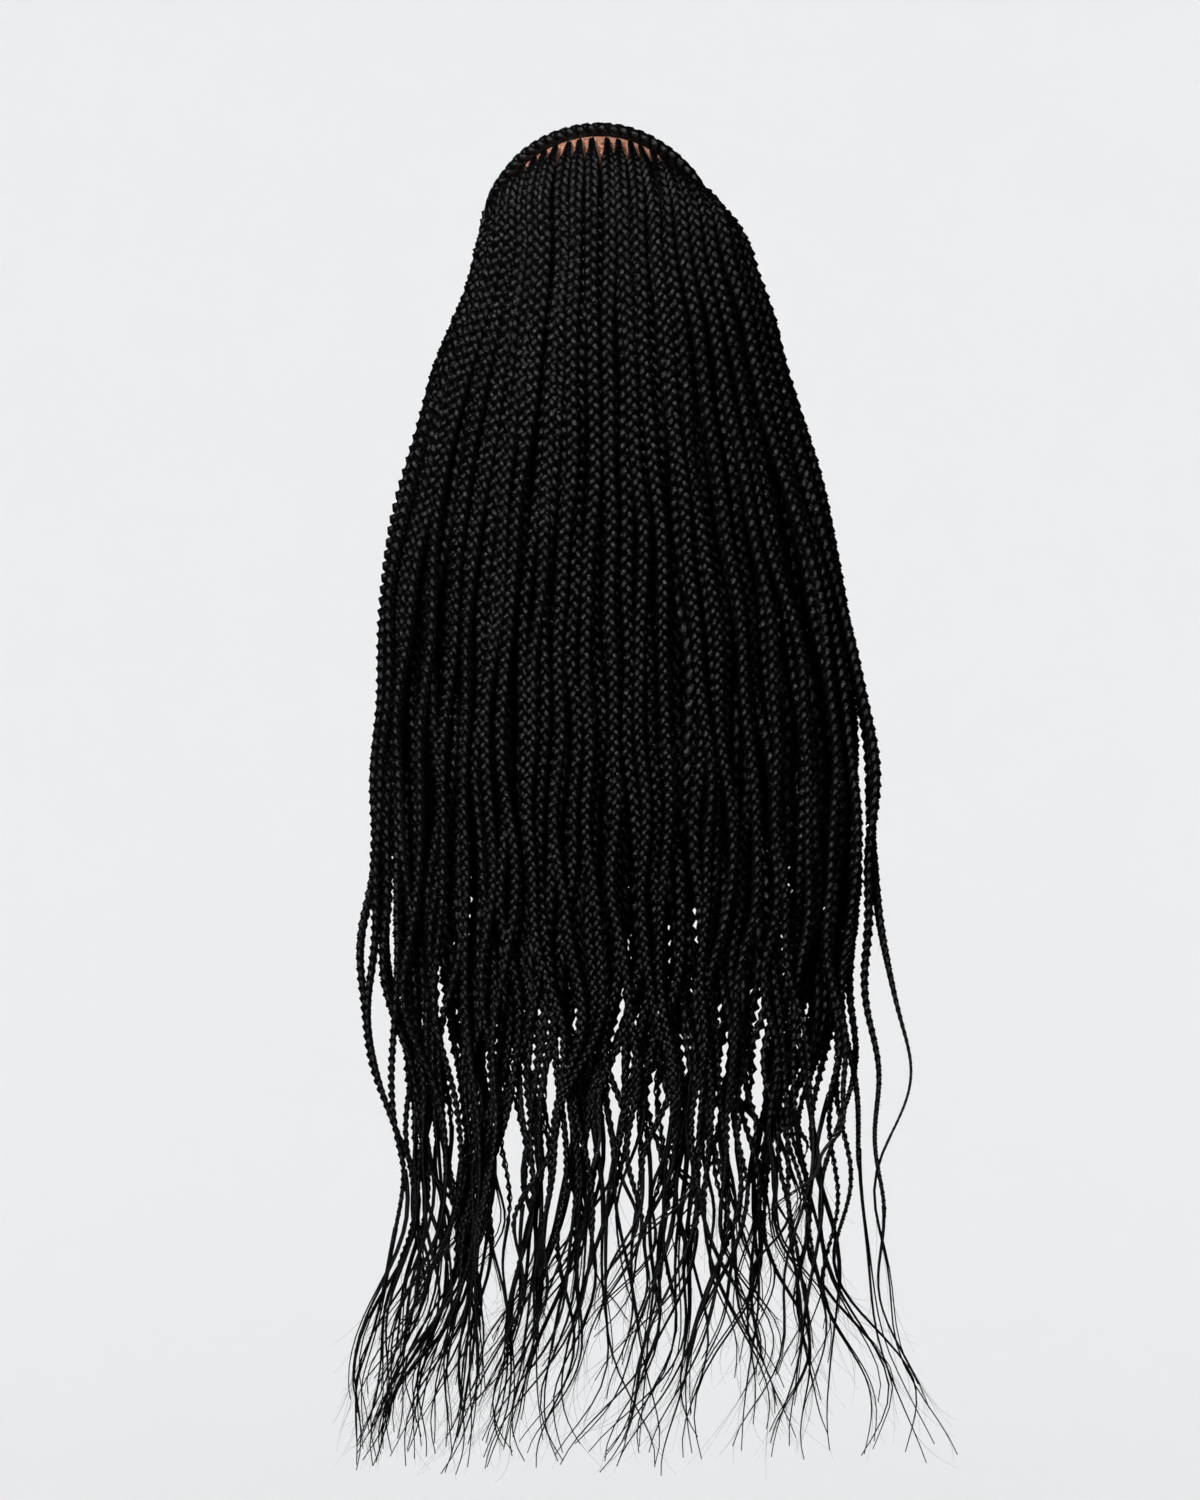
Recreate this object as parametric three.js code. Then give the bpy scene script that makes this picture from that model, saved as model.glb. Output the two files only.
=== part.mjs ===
// A long wig of black box braids on an open lace cap, in the form it keeps when it is worn.
// Millimetres, +Z up. The origin is inside the cap, at its crown. The wearer faces +Y.
//
// The cap's inside is an ellipsoid with a fuller crown. A place on it, or on a layer of hair over it,
// has three values:
//   side   the angle off the middle, 0 at the middle and 90 degrees at the far right of the cap
//   turn   the angle over the cap about its left-to-right line, 0 at the crown, 90 degrees behind
//   drop   how far it hangs below the cap's widest height, once turn has reached 90 degrees
import * as THREE from "three";

// Lace cap
const CAP_HALF_WIDTH = 77;
const CAP_HALF_LENGTH = 98;
const CAP_RISE = 95; // from the widest height up to the crown
const CAP_WALL = 1.5;
const CAP_SIDE = 84; // degrees, the left and right edges
const CAP_HAIRLINE = -62; // degrees of turn, the front edge
const CAP_NAPE_DROP = 55;
const CAP_NAPE_TUCK = 0.06; // share by which the nape edge draws in
const CAP_TUCK_START = 0.4; // share of the way to the nape edge where that begins
const CAP_COLUMNS = 16;
const CAP_SEAM = 20; // degrees of turn, where its front and back panels meet under the crown braid

// Fuller crown: share by which it is wider than the ellipsoid, and the heights where that starts
// and where it is full
const CROWN_FULLER_LEFT = 0.16;
const CROWN_FULLER_RIGHT = 0.08;
const CROWN_FULLER_START = -105;
const CROWN_FULLER_TOP = -45;

// Braid across the crown
const CROWN_BRAID_REAR = 22.5; // degrees of turn, the line that its rear edge follows
const CROWN_BRAID_SIDE = 80;
const CROWN_BRAID_WIDTH = 10;
const CROWN_BRAID_PLAITS = 22; // pairs of left and right bulges
const CROWN_BRAID_CORNERS = 8;
const CROWN_BRAID_BULGE = 0.14; // share of half its width by which each plait stands out
const CROWN_BRAID_END = 0.6; // share of its width at both ends

// Cornrows between the hairline and the crown braid
const CORNROWS = 13;
const CORNROW_PITCH = (2 * CAP_SIDE) / CAP_COLUMNS; // degrees, each along a ridge of the cap
const CORNROW_WIDTH = 8.5;
const CORNROW_HEIGHT = 5.5;
const CORNROW_START = -58; // degrees of turn
const CORNROW_LEAD = 8; // degrees, how far ahead of its start a cornrow would have no width
const CORNROW_RAMP = 24; // degrees over which it reaches its full width

// Locks of hanging braids
const LOCK_SIDE = 72; // degrees, the outer edge of every row
const LOCK_WIDTH = 28; // three braids beside each other
const LAYER = 10; // thickness of one row of locks
const LAYER_LEAD = 10; // how far ahead of its roots a row begins to lift the rows above it
const LAYER_RAMP = 30; // the way over which a row reaches its full thickness
const RIGHT_SWELL = 0.3; // share by which the rows are thicker at the far right
const ROOT_WIDTH = 0.42; // share of the full width where a lock starts
const ROOT_RAMP = 36; // the way over which a lock reaches its full width
const GAP = 0.5; // clearance between neighbours
const SEAT_GAP = 0.15; // clearance between the cap and what is sewn on it
const BACK_DRAW = 0.07; // share by which the tips draw in towards the wearer's back
const SWAY_SHARE = 0.6; // share of the free room beside a lock that its slow wave uses
const SWAY_LENGTH = 560; // drop of one such wave
const SWAY_START = 300; // drop at which the wave is full
const PHASE_PER_LOCK = 0.618; // waves between the locks of a row, so that no two sway alike
const PHASE_PER_ROW = 0.37;
const LENGTH_VARIATION = 0.05; // share by which locks are longer or shorter
const LENGTH_WAVES = 3; // how much faster the length varies than the sway
const STRAY_POWER = 6; // how late a stray tip leaves its row

const HAIR = new THREE.MeshStandardMaterial({ color: 0x0c0b0e, roughness: 0.5, metalness: 0 });
const LACE = new THREE.MeshStandardMaterial({ color: 0xb98a66, roughness: 0.85, metalness: 0 });

// Rows of locks from the innermost to the outermost, and the turn and drop of their roots
const ROWS = [
  { name: "nape", turn: 90, drop: 25, locks: 6 },
  { name: "lower", turn: 82, drop: 0, locks: 7 },
  { name: "middle", turn: 64, drop: 0, locks: 7 },
  { name: "upper", turn: 46, drop: 0, locks: 8 },
  { name: "top", turn: 24, drop: 0, locks: 8 },
];

// Locks whose tips swing out past the rest, and how far
const STRAY_TIPS = [
  { lock: "top_lock_1", outward: -14 },
  { lock: "top_lock_8", outward: 74 },
  { lock: "upper_lock_8", outward: 16 },
];

// Places on the way from the hairline to the tips where the cap and the locks have a section
const FRONT_TURNS = [CAP_HAIRLINE, -50, -38, -26, -14, -2, 9, 17];
const BACK_TURNS = [24, 35, 46, 55, 64, 73, 82, 90];

// Sections of the hanging hair: how many times its width at the cap it spreads to the left and to
// the right, and the share of its full section that a lock still has
const HANGING = [
  { drop: 0, left: 1.0, right: 1.0, share: 1.0 },
  { drop: 25, left: 1.0, right: 1.0, share: 1.0 },
  { drop: 65, left: 1.05, right: 1.06, share: 1.0 },
  { drop: 120, left: 1.17, right: 1.18, share: 1.0 },
  { drop: 190, left: 1.32, right: 1.33, share: 1.0 },
  { drop: 275, left: 1.48, right: 1.51, share: 1.0 },
  { drop: 370, left: 1.55, right: 1.65, share: 1.0 },
  { drop: 470, left: 1.56, right: 1.7, share: 0.95 },
  { drop: 570, left: 1.56, right: 1.7, share: 0.86 },
  { drop: 670, left: 1.47, right: 1.68, share: 0.72 },
  { drop: 780, left: 1.47, right: 1.65, share: 0.52 },
  { drop: 885, left: 1.62, right: 1.7, share: 0.26 },
];
const TIP = HANGING[HANGING.length - 1];

// One lock's section: three ribs outside, one keel inside
const LOCK_SECTION = [
  { across: 0.0, depth: 0.42 },
  { across: 0.5, depth: 0.0 },
  { across: 1.0, depth: 0.42 },
  { across: 0.82, depth: 0.96 },
  { across: 0.66, depth: 0.66 },
  { across: 0.5, depth: 1.0 },
  { across: 0.34, depth: 0.66 },
  { across: 0.18, depth: 0.96 },
];

// A cornrow's section: flat below, round above
const CORNROW_SECTION = [
  { across: -0.42, height: 0.0 },
  { across: 0.42, height: 0.0 },
  { across: 0.5, height: 0.45 },
  { across: 0.26, height: 0.9 },
  { across: -0.26, height: 0.9 },
  { across: -0.5, height: 0.45 },
];

const radians = THREE.MathUtils.degToRad;
const MM_PER_TURN_DEGREE = radians(CAP_RISE);

function smooth(share) {
  const t = THREE.MathUtils.clamp(share, 0, 1);
  return t * t * (3 - 2 * t);
}

// A value of the hanging sections at any drop, straight between two of them
function hanging(drop, column) {
  const below = HANGING.findIndex((row) => row.drop > drop);
  const high = HANGING[below < 1 ? HANGING.length - 2 : below - 1];
  const low = HANGING[below < 1 ? HANGING.length - 1 : below];
  const share = (drop - high.drop) / (low.drop - high.drop);
  return THREE.MathUtils.lerp(high[column], low[column], share);
}

// A point of the layer that lies `out` beyond the cap's inside
function layerPoint(side, { turn, drop }, out) {
  const s = radians(side);
  const t = radians(turn);
  const spread = hanging(drop, side < 0 ? "left" : "right");
  const draw = 1 - BACK_DRAW * (drop / TIP.drop) ** 2;
  const z = -CAP_RISE + (CAP_RISE + out) * Math.cos(s) * Math.cos(t) - drop;
  const height = (z - CROWN_FULLER_START) / (CROWN_FULLER_TOP - CROWN_FULLER_START);
  const fuller = (side < 0 ? CROWN_FULLER_LEFT : CROWN_FULLER_RIGHT) * smooth(height);
  return new THREE.Vector3(
    (CAP_HALF_WIDTH + out) * Math.sin(s) * spread * (1 + fuller),
    -(CAP_HALF_LENGTH + out) * Math.cos(s) * Math.sin(t) * draw,
    z,
  );
}

// Millimetres along a layer for one degree of side
function sideScale(side, station, out) {
  const before = layerPoint(side - 0.5, station, out);
  return before.distanceTo(layerPoint(side + 0.5, station, out));
}

// The way from the crown to a station, used to place roots and ramps
function wayTo({ turn, drop }) {
  return turn * MM_PER_TURN_DEGREE + drop;
}

// A closed mesh through rings of points that run round the same way, with both ends filled
function loft(rings) {
  const corners = rings[0].length;
  const points = rings.flat();
  const faces = [];
  for (let r = 0; r + 1 < rings.length; r++) {
    for (let c = 0; c < corners; c++) {
      const a = r * corners + c;
      const b = r * corners + ((c + 1) % corners);
      faces.push(a, b, b + corners, a, b + corners, a + corners);
    }
  }
  const last = (rings.length - 1) * corners;
  for (const [start, forward] of [[0, false], [last, true]]) {
    const flat = THREE.ShapeUtils.triangulateShape(flatten(rings[start / corners]), []);
    for (const [a, b, c] of flat) {
      faces.push(start + a, start + (forward ? b : c), start + (forward ? c : b));
    }
  }
  return solid(points, faces);
}

// A ring drawn in its own plane, counter-clockwise, so that it can be filled with triangles
function flatten(ring) {
  const centre = ring.reduce((sum, p) => sum.add(p), new THREE.Vector3()).divideScalar(ring.length);
  const normal = new THREE.Vector3();
  ring.forEach((p, i) => {
    const next = ring[(i + 1) % ring.length];
    normal.add(p.clone().sub(centre).cross(next.clone().sub(centre)));
  });
  normal.normalize();
  const u = ring[0].clone().sub(centre).projectOnPlane(normal).normalize();
  const v = normal.clone().cross(u);
  return ring.map((p) => {
    const arm = p.clone().sub(centre);
    return new THREE.Vector2(arm.dot(u), arm.dot(v));
  });
}

function solid(points, faces) {
  const geometry = new THREE.BufferGeometry().setFromPoints(points);
  geometry.setIndex(faces);
  geometry.computeVertexNormals();
  return geometry;
}

function named(name, geometry, material) {
  const mesh = new THREE.Mesh(geometry, material.clone());
  mesh.name = name;
  return mesh;
}

// The cap is a sheet from side to side and from the hairline over the crown to the nape. A row of it
// at the seam stands back from the seam, to the front for -1 and to the back for 1
function capRow(turn, nape = 0, seam = 0) {
  return { turn, nape, seam };
}

function capPoint(side, row, out) {
  const nape = CAP_NAPE_DROP * Math.cos(radians(side)) * row.nape;
  const turn = row.turn + row.seam * turnOf(SEAT_GAP, side);
  const p = layerPoint(side, { turn, drop: 0 }, out);
  const tuck = 1 - CAP_NAPE_TUCK * smooth((row.nape - CAP_TUCK_START) / (1 - CAP_TUCK_START));
  return new THREE.Vector3(p.x * tuck, p.y * tuck, p.z - nape);
}

function capPanel(rows) {
  const sheet = (out) =>
    rows.flatMap((row) =>
      Array.from({ length: CAP_COLUMNS + 1 }, (_, c) =>
        capPoint(THREE.MathUtils.lerp(-CAP_SIDE, CAP_SIDE, c / CAP_COLUMNS), row, out),
      ),
    );
  const outer = sheet(CAP_WALL);
  const inner = sheet(0);
  const wide = CAP_COLUMNS + 1;
  const faces = [];
  const quad = (a, b, c, d) => faces.push(a, b, c, a, c, d);
  for (let r = 0; r + 1 < rows.length; r++) {
    for (let c = 0; c < CAP_COLUMNS; c++) {
      const i = r * wide + c;
      const j = i + outer.length;
      quad(i, i + wide, i + wide + 1, i + 1);
      quad(j, j + 1, j + wide + 1, j + wide);
    }
  }
  // Walk round the edge of the sheet and close it from the outer to the inner face
  const count = (length, place) => Array.from({ length }, (_, n) => place(n));
  const last = rows.length - 1;
  const edge = [
    ...count(CAP_COLUMNS, (n) => n),
    ...count(last, (n) => n * wide + CAP_COLUMNS),
    ...count(CAP_COLUMNS, (n) => last * wide + CAP_COLUMNS - n),
    ...count(last, (n) => (last - n) * wide),
  ];
  edge.forEach((i, n) => {
    const next = edge[(n + 1) % edge.length];
    quad(i, next, next + outer.length, i + outer.length);
  });
  return solid([...outer, ...inner], faces);
}

// Degrees of turn that a length over the cap takes up at a side angle
function turnOf(length, side) {
  return length / MM_PER_TURN_DEGREE / Math.cos(radians(side));
}

// The crown braid's plaits bulge to the back and to the front in turn
function crownBraid() {
  const rings = [];
  const steps = CROWN_BRAID_PLAITS * 2;
  const half = CROWN_BRAID_WIDTH / 2;
  for (let n = 0; n <= steps; n++) {
    const side = THREE.MathUtils.lerp(-CROWN_BRAID_SIDE, CROWN_BRAID_SIDE, n / steps);
    const shift = n % 2 ? CROWN_BRAID_BULGE : -CROWN_BRAID_BULGE;
    const end = n === 0 || n === steps ? CROWN_BRAID_END : 1;
    const middle = CROWN_BRAID_REAR - turnOf(half, side);
    const ring = [];
    for (let c = 0; c < CROWN_BRAID_CORNERS; c++) {
      const angle = (-2 * Math.PI * c) / CROWN_BRAID_CORNERS;
      const across = half * end * ((1 - CROWN_BRAID_BULGE) * Math.cos(angle) + shift);
      const out = CAP_WALL + SEAT_GAP + GAP + half * (1 + end * Math.sin(angle));
      ring.push(layerPoint(side, { turn: middle + turnOf(across, side), drop: 0 }, out));
    }
    rings.push(ring);
  }
  return loft(rings);
}

// A cornrow lies flat on the cap from the hairline back to the crown braid
function cornrow(side) {
  const end = CROWN_BRAID_REAR - turnOf(CROWN_BRAID_WIDTH + GAP, side);
  const between = FRONT_TURNS.filter((turn) => turn > CORNROW_START && turn < end - 1);
  const rings = [CORNROW_START, ...between, end].map((turn) => {
    const station = { turn, drop: 0 };
    const full = smooth((turn - CORNROW_START + CORNROW_LEAD) / CORNROW_RAMP);
    return CORNROW_SECTION.map(({ across, height }) => {
      const out = CAP_WALL + SEAT_GAP + GAP / 2 + height * CORNROW_HEIGHT * full;
      const wide = (across * CORNROW_WIDTH * full) / sideScale(side, station, CAP_WALL);
      return layerPoint(side + wide, station, out);
    });
  });
  return loft(rings);
}

// Thickness that a row adds over the cap at a side angle and a place on the way down
function thickness(row, side, way) {
  const swell = 1 + RIGHT_SWELL * Math.max(0, Math.sin(radians(side)));
  return LAYER * swell * smooth((way - wayTo(row) + LAYER_LEAD) / LAYER_RAMP);
}

// A lock fills its own stretch of its own layer, so that it clears every other lock
function lock(rowIndex, index, name) {
  const row = ROWS[rowIndex];
  const cell = (2 * LOCK_SIDE) / row.locks;
  const middle = -LOCK_SIDE + cell * (index + 0.5);
  const phase = 2 * Math.PI * (index * PHASE_PER_LOCK + rowIndex * PHASE_PER_ROW);
  const stray = STRAY_TIPS.find((tip) => tip.lock === name);
  const longer = 1 + LENGTH_VARIATION * Math.sin(LENGTH_WAVES * phase);
  const stations = [
    ...BACK_TURNS.map((turn) => ({ turn, drop: 0 })),
    ...HANGING.slice(1).map(({ drop }) => ({ turn: 90, drop })),
  ].filter((station) => wayTo(station) >= wayTo(row));

  const rings = stations.map(({ turn, drop }) => {
    const way = wayTo({ turn, drop });
    const share = hanging(drop, "share");
    const place = { turn, drop: drop * THREE.MathUtils.lerp(longer, 1, share) };
    const outAt = (side, depth) => {
      const within = ROWS.slice(0, rowIndex).reduce((sum, r) => sum + thickness(r, side, way), 0);
      const deep = thickness(row, side, way) - GAP;
      return CAP_WALL + SEAT_GAP + GAP / 2 + within + deep * (0.5 + (depth - 0.5) * share);
    };
    const scale = sideScale(middle, place, outAt(middle, 0.5));
    const full = cell - GAP / scale;
    const rooted = THREE.MathUtils.lerp(ROOT_WIDTH, 1, smooth((way - wayTo(row)) / ROOT_RAMP));
    const wide = Math.min(full, LOCK_WIDTH / scale) * rooted * share;
    const wave = Math.sin(phase + (2 * Math.PI * drop) / SWAY_LENGTH) * smooth(drop / SWAY_START);
    const centre = middle + ((full - wide) / 2) * SWAY_SHARE * wave;
    const swing = stray ? stray.outward * (drop / TIP.drop) ** STRAY_POWER : 0;
    return LOCK_SECTION.map(({ across, depth }) => {
      const side = centre + (across - 0.5) * wide;
      const point = layerPoint(side, place, outAt(side, depth));
      point.x += swing;
      return point;
    });
  });
  return loft(rings);
}

const wig = new THREE.Group();
const capFront = [...FRONT_TURNS.map((turn) => capRow(turn)), capRow(CAP_SEAM, 0, -1)];
const capBack = [capRow(CAP_SEAM, 0, 1), ...BACK_TURNS.map((turn) => capRow(turn))];
capBack.push(capRow(90, 0.5), capRow(90, 1));
wig.add(named("lace_cap_front", capPanel(capFront), LACE));
wig.add(named("lace_cap_back", capPanel(capBack), LACE));
wig.add(named("crown_braid", crownBraid(), HAIR));
for (let n = 0; n < CORNROWS; n++) {
  const side = (n - (CORNROWS - 1) / 2) * CORNROW_PITCH;
  wig.add(named(`cornrow_${n + 1}`, cornrow(side), HAIR));
}
ROWS.forEach((row, rowIndex) => {
  for (let n = 0; n < row.locks; n++) {
    const name = `${row.name}_lock_${n + 1}`;
    wig.add(named(name, lock(rowIndex, n, name), HAIR));
  }
});

export default wig;
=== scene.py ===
"""A long wig of plaited black box braids on a tan lace cap, dressed over its solids."""
import math
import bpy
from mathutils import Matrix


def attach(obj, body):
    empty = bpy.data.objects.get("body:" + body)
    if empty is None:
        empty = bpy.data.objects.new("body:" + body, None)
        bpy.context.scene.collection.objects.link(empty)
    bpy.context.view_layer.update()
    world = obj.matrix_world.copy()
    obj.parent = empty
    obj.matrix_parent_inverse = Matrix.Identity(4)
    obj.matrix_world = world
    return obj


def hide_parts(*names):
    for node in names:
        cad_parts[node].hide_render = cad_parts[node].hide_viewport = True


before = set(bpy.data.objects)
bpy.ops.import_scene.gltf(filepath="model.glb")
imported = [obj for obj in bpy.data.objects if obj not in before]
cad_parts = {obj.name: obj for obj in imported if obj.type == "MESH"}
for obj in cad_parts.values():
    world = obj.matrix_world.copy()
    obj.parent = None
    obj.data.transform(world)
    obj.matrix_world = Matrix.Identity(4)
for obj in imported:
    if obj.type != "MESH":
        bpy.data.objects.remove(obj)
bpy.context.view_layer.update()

from types import SimpleNamespace as Values

import bpy
import numpy as np
from bpy.props import FloatProperty, FloatVectorProperty, IntProperty, PointerProperty

bl_info = {
    "name": "Braided Wig",
    "version": (1, 0, 0),
    "blender": (4, 5, 0),
    "location": "View3D > Sidebar > Wig",
    "description": "Plaits the braids of a long wig over its lace cap and lights it",
    "category": "Object",
}

# Form that the solids have too, in metres and degrees: see layer_point for side, turn and drop
CAP_HALF_WIDTH = 0.077
CAP_HALF_LENGTH = 0.098
CAP_RISE = 0.095
CAP_WALL = 0.0015
CAP_SIDE = 84.0
CAP_HAIRLINE = -62.0
CAP_NAPE_DROP = 0.055
CAP_NAPE_TUCK = 0.06
CAP_TUCK_START = 0.4
CAP_SEAM = 20.0
CROWN_FULLER_LEFT = 0.16
CROWN_FULLER_RIGHT = 0.08
CROWN_FULLER_START = -0.105
CROWN_FULLER_TOP = -0.045
CROWN_REAR = 22.5
CROWN_SIDE = 80.0
CROWN_WIDTH = 0.010
CORNROWS = 13
CORNROW_PITCH = 10.5
CORNROW_START = -58.0
CORNROW_LEAD = 8.0
CORNROW_RAMP = 24.0
LOCK_SIDE = 72.0
LOCK_WIDTH = 0.028
LAYER = 0.010
LAYER_LEAD = 0.010
LAYER_RAMP = 0.030
RIGHT_SWELL = 0.3
GAP = 0.0005
SEAT_GAP = 0.00015
BACK_DRAW = 0.07
SWAY_SHARE = 0.6
SWAY_LENGTH = 0.560
SWAY_START = 0.300
PHASE_PER_LOCK = 0.618
PHASE_PER_ROW = 0.37
LENGTH_VARIATION = 0.05
LENGTH_WAVES = 3
STRAY_POWER = 9
WAY_PER_DEGREE = math.radians(CAP_RISE)
BEHIND = 90.0

# Rows of locks from the innermost to the outermost: turn and drop of the roots, the locks, the braids
# in a lock with their relative width, the share by which they are wider where the rows outside hide
# them, their sideways shift and relative plait length, marks along a plait and sides of a strand
ROWS = (
    Values(
        name="nape", turn=90.0, drop=0.025, locks=6, braids=5, width=1.1, filling=0.9, shift=0.5,
        length=1.3, marks=6, sides=3),
    Values(
        name="lower", turn=82.0, drop=0.0, locks=7, braids=5, width=1.1, filling=0.8, shift=0.0,
        length=1.3, marks=6, sides=3),
    Values(
        name="middle", turn=64.0, drop=0.0, locks=7, braids=5, width=1.05, filling=0.65, shift=0.5,
        length=1.1, marks=6, sides=4),
    Values(
        name="upper", turn=46.0, drop=0.0, locks=8, braids=4, width=1.0, filling=0.22, shift=0.25,
        length=1.0, marks=8, sides=4),
    Values(
        name="top", turn=24.0, drop=0.0, locks=8, braids=3, width=1.0, filling=0.0, shift=0.0,
        length=1.0, marks=9, sides=6),
)

# Plaits on the cap: relative plait length, marks along a plait, sides of a strand, points of the line
# and the height of its middle over the cap as a share of half its width
CROWN_PLAIT = Values(length=0.9, marks=12, sides=8, points=300, seat=0.8)
CORNROW_PLAIT = Values(length=1.1, marks=8, sides=5, points=160, seat=0.72)
CORNROW_HALF_WIDTH = 0.0042

# The crown braid stands off more at the right and tapers at its ends, and a core fills it. The
# widths and the core's depth are shares of half its width
CROWN = Values(
    lean=0.0015, lean_start=(30.0, 30.0), taper=5.0, end_width=0.55, more_width=0.65,
    core_depth=0.45, core_width=0.9, loose_rounds=6)

# Locks whose tips swing out past the rest, and how far
STRAY_TIPS = {"top_lock_1": -0.014, "top_lock_8": 0.074, "upper_lock_8": 0.016}

# Sections of the hanging hair: spread to the left and right, and share of a lock's full section
HANGING = {
    "drop": np.array((0, 25, 65, 120, 190, 275, 370, 470, 570, 670, 780, 885)) * 0.001,
    "left": np.array((1.0, 1.0, 1.05, 1.17, 1.32, 1.48, 1.55, 1.56, 1.56, 1.47, 1.47, 1.62)),
    "right": np.array((1.0, 1.0, 1.06, 1.18, 1.33, 1.51, 1.65, 1.7, 1.7, 1.68, 1.65, 1.7)),
    "share": np.array((1.0, 1.0, 1.0, 1.0, 1.0, 1.0, 1.0, 0.95, 0.86, 0.72, 0.52, 0.26)),
}
TIP_DROP = HANGING["drop"][-1]

# How a braid thins on its way down, and how far it and its lock wander from their place
BRAID = {
    "drop": (0.0, 0.15, 0.30, 0.45, 0.55, 0.65, 0.75, 0.885),
    "width": (1.18, 1.12, 1.0, 0.87, 0.75, 0.58, 0.42, 0.30),
    "wander": (0.0014, 0.0028, 0.0038, 0.0050, 0.0070, 0.0095, 0.0125, 0.015),
    "lock_wander": (0.0, 0.001, 0.003, 0.004, 0.006, 0.010, 0.013, 0.016),
}
COURSE_SAMPLES = 420
CLUMP_START = 0.48
CLUMP_LENGTH = 0.30
OUT_SMOOTHING = 0.025
SLOW_WAVES = ((0.42, 0.5), (0.20, 0.32), (0.11, 0.18))

# Roots are pointed, except at the sides, and sink towards the lace
ROOT = {
    "way": (0.0, 0.008, 0.011, 0.019, 0.034, 0.050),
    "width": (0.14, 0.16, 0.30, 0.42, 0.52, 1.0),
}
ROOT_SAMPLE = 3
ROOT_SINK = 0.0013
ROOT_SINK_END = (0.006, 0.014)
ROOT_POINTED_END = (50.0, 14.0)

# The plait: its strands, how they swell, and the marks in which it starts and ends
STRANDS = 3
STRAND_SWELL = 0.42
HAIR_SIDES = 3
ROOT_MARKS = 2.0
END_MARKS = 6.0
SLIM_PLAIT = 0.57
EVEN_TONE = 0.5
OUTWARD_STEP = 0.001
PLAIT_TREE = "Plaited braids"

# Where the open ends start, and how far they may reach
TAIL_START = 0.62
TAIL_SAMPLES = 18
LOWEST = -1.049
TIP_LIMITS = (-0.190, 0.280)
WISP_LIMITS = (-0.212, 0.305)
RIGHT_SHORTER = 0.11

# Locks whose outermost braid bows out: how far, at what drop, over what length and how much thinner
BOWS = {"top_lock_1": (-0.003, 0.555, 0.05, 0.0), "top_lock_8": (0.020, 0.645, 0.07, 0.5)}
NO_BOW = (0.0, 0.0, 1.0, 0.0)
BOW_POWER = 4
SWING_POWER = 2
OUTERMOST_OF_THREE = 1.2

# Fullness of the outer rows over the sides of the cap, above and below its widest height. Pairs such
# as rise, here and further on, are a start and a length for ramp, or an end and a length for fade
SHOULDER = Values(
    rows={"top": 1.0, "upper": 0.6}, right=(0.001, 0.003), left=(-0.003, -0.009), rise=(0.0, 0.025),
    above_end=(50.0, 40.0), below=(45.0, 40.0), below_end=(0.03, 0.07), side=(25.0, 35.0))

# How far the inner rows' outermost braids move out
EDGE_FILL = Values(
    right=0.008, left=-0.005, row_power=0.7, side=(40.0, 25.0), start=(0.0, 0.2), end=(0.72, 0.2))

# Braids at the edges wander less and are a little wider
EDGE = Values(side=(46.0, 14.0), calm=0.8, calm_end=(0.62, 0.2), filling=0.14)

# Where the hidden braids' extra width starts and ends
FILLING_START = (0.0, 0.1)
FILLING_END = (0.70, 0.2)

# How the braids of a lock part from each other across, in depth and in their curl
PARTING = Values(
    across=0.2, across_start=(0.0, 0.1), depth=0.35, depth_start=(0.03, 0.06), wave=0.45,
    wave_start=(0.0, 0.3), upper_lift=0.5, upper_lift_end=(0.05, 0.2), curl=0.012,
    curl_share=(0.5, 1.0), curl_phase=0.15)

# How far the tips reach down, and how they swing sideways by their place
TIP = Values(
    reach=(-0.06, 0.20), longest=(0.97, 1.0), shorter=(20.0, 25.0), turn_end=(0.10, 0.06),
    spread=0.006, sweep_power=2.2)
TIP_PLACES = (-0.17, -0.12, 0.0, 0.10, 0.18)
TIP_SWEEPS = (-0.026, -0.036, -0.036, -0.020, 0.016)

# Where a lock gathers and opens, how it curls and turns there, and how its braids twist
LOCK = Values(
    gather=(0.58, 0.72), gather_share=0.4, gather_length=0.06, curl_length=(0.15, 0.23),
    tip_turn=0.016, open_drop=(0.67, 0.79), twist=(0.2, 0.7), tail_overlap=8)

# Open ends and short loose hairs
TUFT = Values(
    spread=(0.003, 0.014), offset=0.4, length=(0.5, 1.0), first_width=0.68, width=(0.25, 0.45),
    tip_radius=0.00045, taper=1.2)
WISP = Values(
    points=6, drift=(1.0, 0.5, 0.4), length=(0.02, 0.07), bend=(0.1, 0.6), radius=0.00014, taper=1.3)
LOOSE_HAIR = Values(
    points=4, ends=4, length=(0.005, 0.016), lift=(0.12, 0.5), root=0.6, bend=1.5, radius=0.00008,
    taper=1.2)

# Lace: points across and rows of the panels, the net's bands and how its cloth narrows with the turn
CAP_ACROSS = 67
CAP_FRONT_ROWS = 38
CAP_BACK_ROWS = 33
CAP_NAPE_ROWS = 15
WAVE_BAND = 0.31
CLOTH_NARROWING = 0.4

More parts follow.
